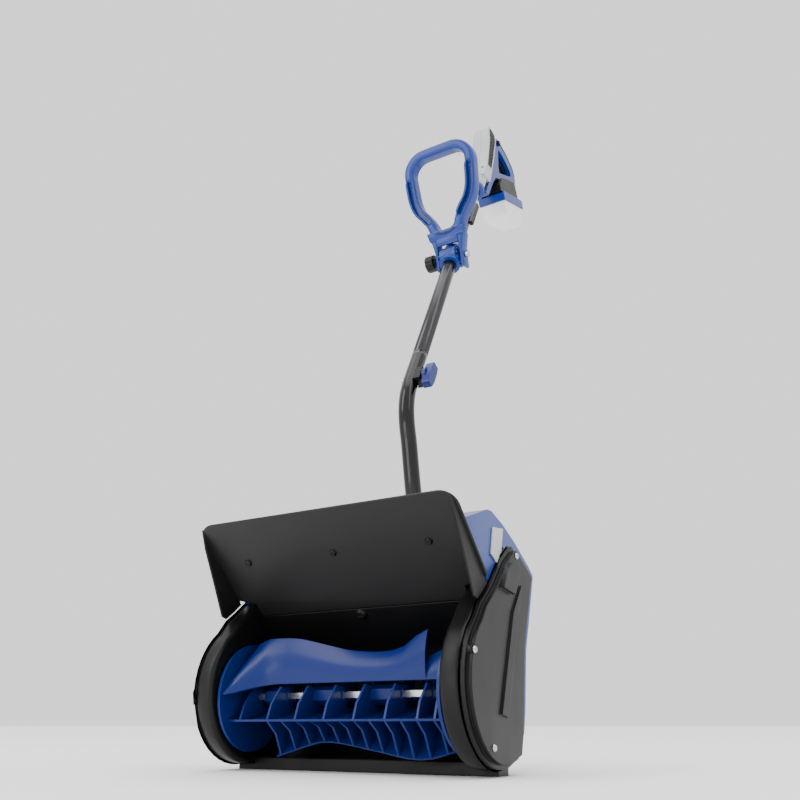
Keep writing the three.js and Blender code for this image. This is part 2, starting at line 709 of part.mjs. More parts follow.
function makeRearCover() {
  const outer = solid(sideSlab(coverSide, -sideX, sideX)).intersect(solid(frontSlab(coverFront, -100, 200)));
  const hollow = solid(sideSlab(offset(coverSide, -THIN_SKIN), -sideX + THIN_SKIN, sideX - THIN_SKIN)).intersect(
    solid(frontSlab(offset(coverFront, -THIN_SKIN), -100, 200)),
  );
  const front = [
    [-90, 245],
    [-52, 238],
    [40, 230],
    [84, 140],
    [66, 60],
    [30, 10],
    [-20, 0],
    [-90, 60],
  ];
  const opening = solid(sideSlab(front, -innerX + 8, innerX - 8));
  const walls = [-1, 1].map((side) => {
    const x0 = side > 0 ? innerX - GAP : -sideX - 1;
    const x1 = side > 0 ? sideX + 1 : -innerX + GAP;
    return solid(sideSlab(offset(wallOutline, GAP), x0, x1));
  });
  const backing = 2 * SKIN + 2 * GAP;
  const behind = [onFace(400, backing), onFace(152, backing), [-300, 152], [-300, 400]];
  const deflectorSide = solid(sideSlab(behind, -300, 300));
  const socketHole = solid(sideSlab(offset(socketOutline, GAP), -SOCKET_HALF - GAP, SOCKET_HALF + GAP));
  const mount = solid(barX(MOTOR_RADIUS + 8, motorEnd - MOTOR_LENGTH - 8, innerX, 20, MOTOR_Y, MOTOR_Z));
  return biggest(cut(outer, hollow, opening, ...walls, deflectorSide, socketHole, mount));
}

// ---------- pole ----------
const SOCKET_HALF = 24;
const tubeFoot = [171, 222];
const tubeLow = [134.5, 385];
const socketLean = Math.atan2(tubeFoot[0] - tubeLow[0], tubeLow[1] - tubeFoot[1]);
const poleLean = radians(POLE_ANGLE);
const socketOutline = [
  [70, 214],
  [150, 204],
  [190, 222],
  [172, 318],
  [128, 318],
  [126, 268],
  [84, 262],
];

add(model, "rear_cover", makeRearCover(), BLUE);

function alongSocket(distance, aside = 0) {
  const y = tubeFoot[0] - Math.sin(socketLean) * distance + Math.cos(socketLean) * aside;
  return [y, tubeFoot[1] + Math.cos(socketLean) * distance + Math.sin(socketLean) * aside];
}

function tubePath() {
  const points = [
    alongSocket(0),
    alongSocket(60),
    tubeLow,
    [129, 416],
    [122.5, 456],
    [116, 488],
    [114.7, 512],
    [117.5, 532],
    [JOINT_Y - 72 * Math.tan(poleLean), JOINT_Z - 72],
    [JOINT_Y, JOINT_Z],
  ];
  return new THREE.CatmullRomCurve3(points.map(([y, z]) => new THREE.Vector3(0, y, z)), false, "centripetal");
}

function ringShape(outer, inner, sides) {
  return shapeOf(arc(0, 0, outer, 0, 360 - 360 / sides, sides - 1), [
    arc(0, 0, inner, 0, 360 - 360 / sides, sides - 1),
  ]);
}

function discShape(radius, sides) {
  return shapeOf(arc(0, 0, radius, 0, 360 - 360 / sides, sides - 1));
}

const POLE_STEPS = 22;
function alongPath(shape, steps = POLE_STEPS) {
  return new THREE.ExtrudeGeometry(shape, { steps, extrudePath: tubePath(), bevelEnabled: false });
}

const lowerTube = solid(alongPath(ringShape(TUBE_RADIUS, TUBE_RADIUS - TUBE_WALL, TUBE_SIDES)));
const boltAlong = -60; // clamp bolt's place along the upper pole, from the joint

const pole = new THREE.Group();
pole.position.set(0, JOINT_Y, JOINT_Z);
pole.rotation.x = -poleLean;
model.add(pole);

// A bar across the pole at the clamp bolt, in the model's frame.
const boltY = JOINT_Y + boltAlong * Math.sin(poleLean);
const boltZ = JOINT_Z + boltAlong * Math.cos(poleLean);
const boltHole = solid(barX(3 + GAP, -40, 40, 12, boltY, boltZ));
add(model, "lower_tube", cut(lowerTube, boltHole), PAINTED);

const socketBody = solid(sideSlab(socketOutline, -SOCKET_HALF, SOCKET_HALF));
const socketBore = solid(alongPath(discShape(TUBE_RADIUS + GAP, TUBE_SIDES)));
const boreMouth = solid(alongPath(discShape(TUBE_RADIUS - 2, TUBE_SIDES)).translate(0, 8, -36));
add(model, "pole_socket", biggest(cut(socketBody, socketBore, boreMouth)), BLACK);

function tubeZ(outer, inner, z0, z1, sides = 16) {
  return cut(solid(barZ(outer, z0, z1, sides)), solid(barZ(inner, z0 - 1, z1 + 1, sides)));
}

const spigot = 70; // length of the upper tube's reduced end inside the bent tube
const upperTube = join(
  tubeZ(TUBE_RADIUS, TUBE_RADIUS - TUBE_WALL, 0.4, UPPER_TUBE_LENGTH, TUBE_SIDES),
  tubeZ(TUBE_RADIUS - TUBE_WALL - 1.4, TUBE_RADIUS - TUBE_WALL - 2.9, -spigot, 3, TUBE_SIDES),
  tubeZ(TUBE_RADIUS - 0.1, TUBE_RADIUS - TUBE_WALL - 2.9, 0.4, 2.4, TUBE_SIDES),
);
const localBolt = solid(barX(3 + GAP, -40, 40, 12, 0, boltAlong));
add(pole, "upper_tube", cut(upperTube, localBolt), STEEL);

const topTubeBore = TOP_TUBE_RADIUS - TUBE_WALL - 0.8;
const topTube = tubeZ(topTubeBore + 1.6, topTubeBore, UPPER_TUBE_LENGTH - 30, UPPER_TUBE_LENGTH + 2);
const topTubeEnd = UPPER_TUBE_LENGTH + TOP_TUBE_LENGTH;
const topTubeBody = tubeZ(TUBE_RADIUS - 0.4, topTubeBore, UPPER_TUBE_LENGTH + GAP, topTubeEnd);
add(pole, "top_tube", join(topTube, topTubeBody), STEEL);

// Saddle, bolt and wing knob that clamp the two tubes.
const saddleReach = 8;
const saddleMiddle = TUBE_RADIUS + saddleReach / 2 - 1;
const saddle = cut(
  solid(new THREE.BoxGeometry(saddleReach + 4, 22, 26).translate(saddleMiddle, 0, boltAlong)),
  solid(barZ(TUBE_RADIUS + 2 * GAP, boltAlong - 30, 30, TUBE_SIDES)),
  localBolt,
);
add(pole, "clamp_saddle", saddle, BLACK);
const boltHead = solid(barX(5.5, -TUBE_RADIUS - 5, -TUBE_RADIUS - GAP * 2, 14, 0, boltAlong));
const boltShank = solid(barX(3, -TUBE_RADIUS - 2, TUBE_RADIUS + saddleReach + 9, 12, 0, boltAlong));
add(pole, "clamp_bolt", join(boltHead, boltShank), STEEL);

function makeWingKnob() {
  const start = TUBE_RADIUS + saddleReach + 1.3;
  const hub = solid(barX(9, start, start + 13, 16));
  const wing = [
    [-6, -23],
    [6, -23],
    [9, -10],
    [9, 10],
    [7, 22],
    [-7, 22],
    [-9, 10],
    [-9, -10],
  ];
  const blade = solid(sideSlab(wing, start + 3, start + 17));
  const base = solid(barX(13, start + 2, start + 8, 18));
  const bolt = solid(barX(3 + GAP, start - 1, start + 12, 12));
  return cut(join(hub, blade, base), bolt);
}
add(pole, "clamp_knob", makeWingKnob(), BLUE).position.z = boltAlong;

// Wire guard beside the top tube.
const guard = cut(
  solid(new THREE.BoxGeometry(7, 10, 70).translate(TUBE_RADIUS + 3.5, 3, GUARD_MIDDLE)),
  solid(barZ(TUBE_RADIUS + GAP, GUARD_MIDDLE - 55, GUARD_MIDDLE + 55, TUBE_SIDES)),
);
add(pole, "wire_guard", guard, BLACK);

// ---------- auxiliary D handle ----------
const auxSlide = new THREE.Group();
auxSlide.position.z = AUX_ALONG;
pole.add(auxSlide);
const aux = new THREE.Group();
aux.rotation.x = radians(AUX_LEAN);
auxSlide.add(aux);

const collarHalf = 16;
const collarRadius = TUBE_RADIUS + 7;
function makeCollar() {
  const body = solid(barX(22, -collarHalf, collarHalf, 24));
  const sleeve = solid(barZ(collarRadius, -24, 21, 24));
  const bore = solid(barZ(TUBE_RADIUS + GAP, -60, 60, TUBE_SIDES));
  const teeth = Array.from({ length: 12 }, (_, i) => {
    const tooth = new THREE.BoxGeometry(5, 2.4, 4).translate(collarHalf + 1.5, 0, 17);
    return solid(tooth.rotateX((i * Math.PI) / 6));
  });
  const bolt = solid(barX(3 + GAP, -60, 60, 12));
  const sides = [bolt, bore];
  return cut(join(body, sleeve, ...teeth, ...teeth.map((tooth) => tooth.mirror([1, 0, 0]))), ...sides);
}
add(auxSlide, "aux_collar", makeCollar(), BLUE);

// The D handle stands on two cheeks beside the collar; its outline is drawn in its own x-z plane.
const cheekX = collarRadius + 1.8;
const cheek = 7;
function auxOutline(inset) {
  const half = AUX_WIDTH / 2 - inset;
  const top = AUX_HEIGHT - inset;
  const corner = 46 - inset;
  const foot = 34 - inset * 1.2;
  const low = 38 + inset;
  const right = [
    [foot, low],
    [foot + 10, low + 34],
    [half - 5, top - 108],
    ...arc(half - corner, top - corner, corner, -12, 90, 9),
  ];
  const left = right.map(([x, z]) => [-x, z]).reverse();
  return [...right, ...left];
}

function makeAuxHandle() {
  const rim = solid(frontSlab(auxOutline(0), -AUX_DEPTH / 2, AUX_DEPTH / 2, [auxOutline(AUX_BAR)]));
  const legs = [-1, 1].map((side) => {
    const outline = [
      [cheekX, -24],
      [cheekX + cheek, -24],
      [cheekX + cheek, 14],
      [cheekX + cheek + 6, 42],
      [cheekX + 6, 62],
      [cheekX, 48],
    ].map(([x, z]) => [side * x, z]);
    return solid(frontSlab(outline, -13, 13));
  });
  const bridgeLow = 37;
  const bridge = solid(
    frontSlab([[-36, bridgeLow], [36, bridgeLow], [42, 56], [-42, 56]], -AUX_DEPTH / 2, AUX_DEPTH / 2),
  );
  // Shallow channels run up both sides of the rim, front and back.
  const channel = (side) => {
    const inner = auxOutline(AUX_BAR - 4.5);
    const outer = auxOutline(4.5);
    const groove = solid(frontSlab(outer, 0, 12, [inner]));
    const window = solid(new THREE.BoxGeometry(AUX_WIDTH, 40, 150).translate(0, 0, 50 + 75 + 4));
    return groove.translate([0, side > 0 ? 4.5 : -16.5, 0]).intersect(window);
  };
  const bolt = solid(barX(3 + GAP, -60, 60, 12));
  const room = solid(barX(22 + 2, -cheekX, cheekX, 24));
  // The pole lies in this notch when the handle is tilted fully back.
  const notch = sideSlab([[-2, 20], [14, 62], [90, 62], [90, 20]], -TUBE_RADIUS - 1.5, TUBE_RADIUS + 1.5);
  return cut(join(rim, bridge, ...legs), channel(1), channel(-1), bolt, room, solid(notch));
}
add(aux, "aux_handle", makeAuxHandle(), BLUE);

const auxFace = cheekX + cheek;
const auxBolt = join(
  solid(barX(7, auxFace + 2, auxFace + 7, 6)),
  solid(barX(3, TUBE_RADIUS + 2, auxFace + 4, 12)),
);
add(auxSlide, "aux_nut", auxBolt, STEEL);

function makeAuxKnob() {
  const start = auxFace + 3;
  const lobes = Array.from({ length: 8 }, (_, i) => {
    const angle = (i * Math.PI) / 4;
    const y = (AUX_KNOB_RADIUS + 2) * Math.cos(angle);
    const z = (AUX_KNOB_RADIUS + 2) * Math.sin(angle);
    return solid(barX(3.4, start + 5, start + 25, 8, y, z));
  });
  const body = solid(barX(AUX_KNOB_RADIUS, start + 4, start + 20, 24));
  const neck = solid(barX(9, start, start + 6, 20));
  const shank = solid(barX(3, TUBE_RADIUS + 2, start + 3, 12));
  return join(cut(body, ...lobes), neck, shank).mirror([1, 0, 0]);
}
add(auxSlide, "aux_knob", makeAuxKnob(), BLACK);

// Grey strips set on the sides of the rear cover.
function makeAccent(side) {
  const outline = [
    [-3, 246],
    [27, 286],
    [60, 290],
    [14, 232],
  ];
  const grown = solid(sideSlab(outline, sideX - 60, sideX + 10));
  const skin = accentSkin(0.4 + 2).intersect(grown);
  const wall = solid(sideSlab(offset(wallOutline, 1), innerX - 20, sideX + 40));
  const strip = biggest(cut(skin, accentSkin(0.4), wall));
  return side > 0 ? strip : strip.mirror([1, 0, 0]);
}

function accentSkin(extra) {
  const wide = coverFront.map(([x, z]) => [x + Math.sign(x) * extra, z]);
  return solid(frontSlab(wide, -100, 200)).intersect(solid(sideSlab(coverSide, 0, sideX + extra)));
}
add(model, "right_accent_strip", makeAccent(1), GREY);
add(model, "left_accent_strip", makeAccent(-1), GREY);

// ---------- main handle ----------
const collarRingLength = 17;
const handleCollarRadius = 18.5;
const handleCollarTo = topTubeEnd + 6;
const ringTo = COLLAR_FROM + collarRingLength;
const ringPiece = tubeZ(handleCollarRadius + 2.5, TUBE_RADIUS + GAP, COLLAR_FROM, ringTo, 24);
add(pole, "collar_ring", ringPiece, BLUE);

const gripHalf = GRIP_WIDTH / 2;
const shellHalf = HANDLE_WIDTH / 2;

const shellOutline = [
  [414, 1150],
  [434, 1186],
  [446, 1226],
  [457, 1272],
  ...arc(480, 1301, 20, 165, 10, 7),
  [496, 1290],
  [479, 1232],
  [462, 1182],
  [450, 1150],
];
const shellSolid = solid(sideSlab(shellOutline, -shellHalf, shellHalf));
const poleMatrix = new THREE.Matrix4().makeRotationX(-poleLean).setPosition(0, JOINT_Y, JOINT_Z);

// A geometry drawn along the upper pole, moved to the model's frame.
function fromPole(geometry) {
  return solid(geometry.applyMatrix4(poleMatrix));
}
const sleeveRoom = fromPole(barZ(handleCollarRadius + GAP, 400, handleCollarTo + GAP, 28));
const sleeveFrom = ringTo + GAP;
const sleeve = tubeZ(handleCollarRadius, TUBE_RADIUS + GAP, sleeveFrom, handleCollarTo, 28);
add(pole, "handle_collar", sleeve, GREY);

const ventOutline = [
  [442, 1192],
  [451, 1228],
  [461, 1272],
  ...arc(480, 1301, 14.5, 170, 20, 5),
  [492, 1290],
  [475, 1234],
  [461, 1192],
];
const ventDepth = 3;
const shellHollow = solid(sideSlab(offset(shellOutline, -THIN_SKIN), -shellHalf + 5.5, shellHalf - 5.5));
const ventPockets = [-1, 1].map((side) => {
  const x0 = side > 0 ? shellHalf - ventDepth - GAP : -shellHalf - 1;
  return solid(sideSlab(offset(ventOutline, GAP), x0, x0 + ventDepth + GAP + 1));
});
const shellSplit = (side) => solid(sideSlab([[300, 1000], [700, 1000], [700, 1500], [300, 1500]], ...side));
function makeShell(side) {
  const range = side > 0 ? [GAP / 2, 100] : [-100, -GAP / 2];
  const hollowed = cut(shellSolid, shellHollow, sleeveRoom, ...ventPockets);
  return biggest(hollowed.intersect(shellSplit(range)));
}
add(model, "handle_shell_right", makeShell(1), GREY);
add(model, "handle_shell_left", makeShell(-1), GREY);

function makeVent(side) {
  const panel = solid(sideSlab(ventOutline, shellHalf - ventDepth, shellHalf - 0.4));
  const slots = Array.from({ length: 9 }, (_, i) => {
    const slot = new THREE.BoxGeometry(2.4, 60, 3).rotateX(radians(38));
    return solid(slot.translate(shellHalf, 450 + i * 4.2, 1202 + i * 12));
  });
  const rim = solid(sideSlab(offset(ventOutline, -2.5), shellHalf - 2, shellHalf + 2));
  const made = cut(panel, ...slots.map((slot) => slot.intersect(rim)));
  return side > 0 ? made : made.mirror([1, 0, 0]);
}
add(model, "right_vent", makeVent(1), RUBBER);
add(model, "left_vent", makeVent(-1), RUBBER);

// The blue frame: a strut behind the shell, the grip bar, and the lower branch that carries the battery.
const frameOutline = [
  [430, 1112],
  [452, 1158],
  [470, 1206],
  [488, 1262],
  [496, 1300],
  [508, 1309],
  [526, 1307],
  [560, 1300],
  [594, 1285],
  [606, 1268],
  [604, 1243],
  [535, 1210],
  [488, 1187],
  [470, 1160],
  [443, 1112],
];
const fingerGap = [
  [510, 1280],
  [507, 1229],
  [511, 1215],
  [568, 1243],
  [582, 1252],
  [578, 1262],
  [552, 1274],
  [524, 1281],
];
const padOutline = [
  [522, 1301],
  [558, 1294],
  [588, 1280],
  [599, 1266],
  [618, 1272],
  [606, 1296],
  [564, 1312],
  [520, 1318],
];
const triggerHalf = 8;
const triggerOutline = [
  [526.1, 1283.1],
  [532.1, 1288.5],
  [541.2, 1285.1],
  [570.6, 1268.8],
  [572.1, 1259.5],
  [564.6, 1254.5],
  [553.1, 1262.4],
  [540.1, 1262.5],
  [528.9, 1272],
];
const switchOutline = [
  [550.4, 1290.6],
  [577.5, 1279.3],
  [573.5, 1275.1],
  [552.7, 1285.7],
];
const lockHalf = [5, 4];
const lockSpot = [510, 1297];

function makeFrame() {
  const body = solid(sideSlab(frameOutline, -gripHalf, gripHalf, [fingerGap]));
  const pad = solid(sideSlab(offset(padOutline, GAP), -gripHalf - 2, gripHalf + 2));
  const slotTop = [
    [519, 1271.5],
    [525.4, 1296.3],
    [546.2, 1293.9],
    [581.8, 1280.5],
    [578.7, 1251.7],
    [560.6, 1242.2],
    [526, 1257.1],
  ];
  const slot = solid(sideSlab(slotTop, -triggerHalf - GAP, triggerHalf + GAP));
  const lock = solid(
    new THREE.BoxGeometry(60, 2 * (lockHalf[0] + GAP), 2 * (lockHalf[1] + GAP)).translate(0, ...lockSpot),
  );
  const shellRoom = solid(sideSlab(offset(shellOutline, GAP), -shellHalf - 2, shellHalf + 2));
  return biggest(cut(body, pad, slot, lock, shellRoom, sleeveRoom, mountRoom));
}

// ---------- battery ----------
const battery = new THREE.Group();
battery.position.set(0, BATTERY_Y, BATTERY_Z);
battery.rotation.x = radians(BATTERY_TILT);
const batteryMatrix = new THREE.Matrix4()
  .makeRotationX(radians(BATTERY_TILT))
  .setPosition(0, BATTERY_Y, BATTERY_Z);
const halfBattery = BATTERY_WIDTH / 2;
const railNeck = 14;
const railHead = 19;
const railGap = 0.5;
const railRise = 5;
const railTop = 9;

function railOutline(room) {
  return [
    [-railNeck - room, -1],
    [railNeck + room, -1],
    [railNeck + room, railRise - room],
    [railHead + room, railRise - room],
    [railHead + room, railTop + room],
    [-railHead - room, railTop + room],
    [-railHead - room, railRise - room],
    [-railNeck - room, railRise - room],
  ];
}

const mountSide = [
  [-6, GAP],
  [BATTERY_LENGTH - 12, GAP],
  [BATTERY_LENGTH - 13, 22],
  [BATTERY_LENGTH - 18, 40],
  [50, 38],
  [18, 34],
  [-4, 14],
];
const mountSolid = solid(sideSlab(mountSide, -halfBattery + 4, halfBattery - 4).applyMatrix4(batteryMatrix));
const mountRoom = solid(
  sideSlab(offset(mountSide, GAP), -halfBattery - 4, halfBattery + 4).applyMatrix4(batteryMatrix),
);
const railFrom = 10;
const contactHalf = 1.2;
function inBattery(geometry) {
  return solid(geometry.applyMatrix4(batteryMatrix));
}
const railSlot = inBattery(frontSlab(railOutline(railGap), railFrom - railGap, BATTERY_LENGTH + 20));
const contactRoom = inBattery(new THREE.BoxGeometry(22, 14, 12).translate(0, railFrom + 2, railTop - 1));
add(model, "battery_mount", biggest(cut(mountSolid, railSlot, contactRoom)), BLACK);
add(model, "grip_frame", makeFrame(), BLUE);

function makeContacts() {
  const base = new THREE.BoxGeometry(20, 3, 9).translate(0, railFrom - 3.2, railTop - 1);
  const blade = (x) => new THREE.BoxGeometry(2 * contactHalf, 7, 6).translate(x, railFrom, 8.5);
  const blades = [-6, 6].map((x) => inBattery(blade(x)));
  return join(inBattery(base), ...blades);
}
add(model, "battery_contacts", makeContacts(), BRASS);

model.add(battery);
const latchHalf = 13;
function makeBatteryBase() {
  const low = -BATTERY_BASE_HEIGHT;
  const side = [
    [0, low],
    [BATTERY_LENGTH, low],
    [BATTERY_LENGTH + 2, -2],
    [BATTERY_LENGTH - 2, 0],
    [2, 0],
    [-2, -4],
  ];
  const body = solid(sideSlab(side, -halfBattery, halfBattery));
  const rail = solid(frontSlab(railOutline(0), railFrom, BATTERY_LENGTH - 16));
  const slots = [-6, 6].map((x) =>
    solid(new THREE.BoxGeometry(2 * contactHalf + 1, 12, 7).translate(x, railFrom + 1.8, railTop - 1)),
  );
  const latchRoom = new THREE.BoxGeometry(2 * latchHalf + 1, 26, 20).translate(0, BATTERY_LENGTH - 3, -7);
  return cut(join(body, rail), ...slots, solid(latchRoom));
}
add(battery, "battery_base", makeBatteryBase(), BLUE);

function makeBatteryCase() {
  const top = -BATTERY_BASE_HEIGHT - GAP;
  const low = top - BATTERY_CASE_HEIGHT;
  const side = [
    [3, top],
    [BATTERY_LENGTH - 3, top],
    [BATTERY_LENGTH - 5, low + 12],
    [BATTERY_LENGTH - 18, low],
    [18, low],
    [5, low + 12],
  ];
  const edge = halfBattery - 2;
  const front = [
    [-edge, top + 1],
    [edge, top + 1],
    [edge - 2, low + 10],
    [edge - 10, low - 1],
    [-edge + 10, low - 1],
    [-edge + 2, low + 10],
  ];
  return solid(sideSlab(side, -edge, edge)).intersect(solid(frontSlab(front, -10, BATTERY_LENGTH + 10)));
}
add(battery, "battery_case", makeBatteryCase(), CLOUDY);

function makeLatch() {
  const side = [
    [BATTERY_LENGTH - 15, -12],
    [BATTERY_LENGTH + 3, -12],
    [BATTERY_LENGTH + 9, -7],
    [BATTERY_LENGTH + 9, -2],
    [BATTERY_LENGTH - 1, 2.5],
    [BATTERY_LENGTH - 15, 1],
  ];
  const body = solid(sideSlab(side, -latchHalf, latchHalf));
  const grip = solid(new THREE.BoxGeometry(14, 5, 20).translate(0, BATTERY_LENGTH + 3.2, 0));
  return cut(body, grip);
}
add(battery, "battery_latch", makeLatch(), BLUE);

// ---------- grip controls ----------
const padShell = solid(sideSlab(padOutline, -gripHalf + 1, gripHalf - 1)).intersect(
  solid(sideSlab(offset(frameOutline, 3.5), -gripHalf, gripHalf)),
);
add(model, "grip_pad", biggest(padShell), RUBBER);
add(model, "trigger", sideSlab(triggerOutline, -triggerHalf + GAP, triggerHalf - GAP), BLACK);
add(model, "switch_body", sideSlab(switchOutline, -triggerHalf + GAP, triggerHalf - GAP), GREY);

const lockLength = GRIP_WIDTH + 10;
const lockBar = new THREE.BoxGeometry(lockLength, 2 * lockHalf[0], 2 * lockHalf[1]);
const lockButton = add(model, "lock_button", lockBar, BLACK);
lockButton.position.set(0, ...lockSpot);

const tailOutline = [
  [610, 1276],
  [621, 1264],
  [620, 1246],
  [608, 1234],
  [592, 1238],
  [600, 1262],
];
const tail = cut(
  solid(sideSlab(tailOutline, -gripHalf + 4, gripHalf - 4)),
  solid(sideSlab(offset(frameOutline, GAP), -gripHalf - 2, gripHalf + 2)),
  solid(sideSlab(offset(padOutline, GAP), -gripHalf - 2, gripHalf + 2)),
  mountRoom,
);
add(model, "tail_cap", biggest(tail), GREY);

export default model;
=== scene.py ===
import json
import math

import bmesh
import bpy
from mathutils import Matrix, Vector


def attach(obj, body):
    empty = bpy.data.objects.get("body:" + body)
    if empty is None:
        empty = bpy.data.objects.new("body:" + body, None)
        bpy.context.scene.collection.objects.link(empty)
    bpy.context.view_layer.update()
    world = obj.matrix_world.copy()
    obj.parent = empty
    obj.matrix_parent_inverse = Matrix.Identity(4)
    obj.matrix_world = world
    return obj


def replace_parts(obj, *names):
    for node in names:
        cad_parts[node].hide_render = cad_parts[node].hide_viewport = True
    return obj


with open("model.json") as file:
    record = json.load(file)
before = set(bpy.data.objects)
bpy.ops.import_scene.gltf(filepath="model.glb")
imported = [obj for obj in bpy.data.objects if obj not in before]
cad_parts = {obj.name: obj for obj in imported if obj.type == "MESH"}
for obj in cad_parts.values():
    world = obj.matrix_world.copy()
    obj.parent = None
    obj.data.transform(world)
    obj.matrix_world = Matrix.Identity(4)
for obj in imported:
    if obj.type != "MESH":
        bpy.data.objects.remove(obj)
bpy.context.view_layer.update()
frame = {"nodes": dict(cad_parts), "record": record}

MM = 0.001
WEAR = 50  # size of the slow changes in tone and gloss over a piece, in millimetres
ROUGH_SPREAD = 0.08
CREASE = math.radians(32)  # edges sharper than this stay crisp or are rounded
HOME = {node: body for body, nodes in frame["record"]["behaviour"]["bodies"].items() for node in nodes}


# ---------- materials ----------
def linear(hex_colour):
    """An sRGB hex colour as the linear values that shaders take."""
    parts = [int(hex_colour[i : i + 2], 16) / 255 for i in (1, 3, 5)]
    return [c / 12.92 if c <= 0.04045 else ((c + 0.055) / 1.055) ** 2.4 for c in parts] + [1.0]


def add(tree, kind, settings=None, **inputs):
    """Adds a node, sets its fields, and sets or links its inputs."""
    node = tree.nodes.new(kind)
    for field, value in (settings or {}).items():
        setattr(node, field, value)
    for name, value in inputs.items():
        socket = node.inputs[name.replace("_", " ")]
        if isinstance(value, bpy.types.NodeSocket):
            tree.links.new(value, socket)
        else:
            socket.default_value = value
    return node


def surface(
    name, colour, rough, metal=0.0, grain=0.4, bump=0.05, drift=0.06, coat=0.0, clear=0.0, edge=1.0, shine=0.5
):
    """A material with its own fine grain. grain is the size of the texture and bump its depth, both in
    millimetres. drift is the change in brightness over the piece, coat a thin clear gloss, clear how far light
    sinks in, shine the strength of the reflection, and edge the radius in millimetres that light catches on
    its corners."""
    material = bpy.data.materials.new(name)
    material.use_nodes = True
    tree = material.node_tree
    shader = tree.nodes["Principled BSDF"]
    place = add(tree, "ShaderNodeTexCoord").outputs["Object"]
    fine = add(tree, "ShaderNodeTexNoise", Vector=place, Scale=1 / (grain * MM), Detail=3.0).outputs["Fac"]
    broad = add(tree, "ShaderNodeTexNoise", Vector=place, Scale=1 / (WEAR * MM), Detail=2.0).outputs["Fac"]
    smoothest = max(rough - ROUGH_SPREAD, 0.02)
    rougher = add(
        tree, "ShaderNodeMapRange", Value=broad, To_Min=smoothest, To_Max=rough + ROUGH_SPREAD
    ).outputs["Result"]
    tree.links.new(rougher, shader.inputs["Roughness"])
    tone = linear(colour)
    shader.inputs["Base Color"].default_value = tone
    if drift:
        # The colour mix's own sockets: 0 is the factor, 6 and 7 the two colours, 2 the result.
        mix = add(tree, "ShaderNodeMix", {"data_type": "RGBA"})
        tree.links.new(broad, mix.inputs[0])
        mix.inputs[6].default_value = [c * (1 - drift) for c in tone[:3]] + [1.0]
        mix.inputs[7].default_value = [min(c * (1 + drift), 1.0) for c in tone[:3]] + [1.0]
        tree.links.new(mix.outputs[2], shader.inputs["Base Color"])
    shader.inputs["Metallic"].default_value = metal
    corner = add(tree, "ShaderNodeBevel", {"samples": 6}, Radius=edge * MM).outputs["Normal"]
    raised = add(tree, "ShaderNodeBump", Height=fine, Strength=0.5, Distance=bump * MM, Normal=corner).outputs["Normal"]
    tree.links.new(raised, shader.inputs["Normal"])
    shader.inputs["Specular IOR Level"].default_value = shine
    shader.inputs["Coat Weight"].default_value = coat
    shader.inputs["Coat Roughness"].default_value = 0.12
    shader.inputs["Subsurface Weight"].default_value = clear
    shader.inputs["Subsurface Radius"].default_value = (0.012, 0.012, 0.012)
    return material


# The real grain of these surfaces is under 0.1 mm and would not show, so it is drawn from 0.3 to 1.5 mm.
# The housing and walls: spark-eroded tool, so a dull sheen that brightens along the edges.
black_abs = surface(
    "black ABS, moulded, fine grain", "#0c0c0d", 0.38, grain=0.7, bump=0.03, edge=1.8, shine=0.24
)
# The deflector: a softer plastic, flatter and a little browner than the housing.
charcoal_pp = surface(
    "charcoal polypropylene, moulded, satin", "#1a191a", 0.45, grain=0.9, bump=0.04, shine=0.24
)
# The motor cover and handles: smooth and even, with a soft highlight.
blue_abs = surface(
    "blue ABS, moulded, semi-gloss", "#082f80", 0.3, grain=1.2, bump=0.02, coat=0.05, edge=1.6, shine=0.4
)
# The auger: a slippery plastic from a polished tool, so its curves carry long highlights.
blue_nylon = surface(
    "blue nylon, moulded, polished tool", "#042066", 0.3, grain=1.5, bump=0.02, coat=0.05, edge=0.9, shine=0.28
)
# The handle shells: painted, so pale and clean.
grey_abs = surface("silver ABS, moulded and painted", "#b4b6b8", 0.36, grain=0.6, bump=0.02)
# Grip and vents: no shine at all.
black_rubber = surface("black rubber, overmoulded, matt", "#0a0a0b", 0.65, grain=0.5, bump=0.05)
# The battery case: light sinks in a little, so its corners glow.
cloudy_pc = surface(
    "clouded polycarbonate, moulded", "#eceeec", 0.34, grain=1.0, bump=0.01, drift=0.01, clear=0.12
)
# Fasteners and bearings: bright, with small sharp glints.
zinc = surface("steel screws, zinc plated", "#c3c6ca", 0.28, metal=1.0, grain=0.3, bump=0.01)
# Screws in the deflector: blackened, with a faint glint.
black_oxide = surface("steel screws, black oxide", "#151516", 0.34, metal=0.6, grain=0.3, bump=0.01)
# The auger shaft: flat bright faces that flash between the ribs.
hex_steel = surface("hexagonal steel bar, cold drawn", "#d2d4d7", 0.22, metal=1.0, grain=0.5, bump=0.01)
# The bent tube: deep black with one narrow highlight down its length.
gloss_coat = surface(
    "steel tube, black powder coat, gloss", "#040405", 0.16, grain=1.4, bump=0.015, coat=0.1, shine=0.35
)
# The middle tube: dark metal that still mirrors the room.
dark_tube = surface(
    "steel tube, drawn and darkened, polished", "#48484a", 0.22, metal=1.0, grain=0.5, bump=0.006
)
# The top tube: the brightest piece of the pole.
bright_tube = surface("aluminium tube, drawn and polished", "#d9dadb", 0.2, metal=1.0, grain=0.5, bump=0.006)
# The battery contacts: warm and bright.
brass = surface("brass contacts, stamped", "#c7a45a", 0.3, metal=1.0, grain=0.3, bump=0.01)


# ---------- shaping ----------
def fresh(name, bm, material, body):
    """Turns a bmesh into a piece that rides on a body."""
    bmesh.ops.recalc_face_normals(bm, faces=bm.faces)
    for face in bm.faces:
        face.smooth = True
    mesh = bpy.data.meshes.new(name)
    bm.to_mesh(mesh)
    bm.free()
    piece = bpy.data.objects.new(name, mesh)
    bpy.context.scene.collection.objects.link(piece)
    mesh.materials.append(material)
    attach(piece, body)
    return piece


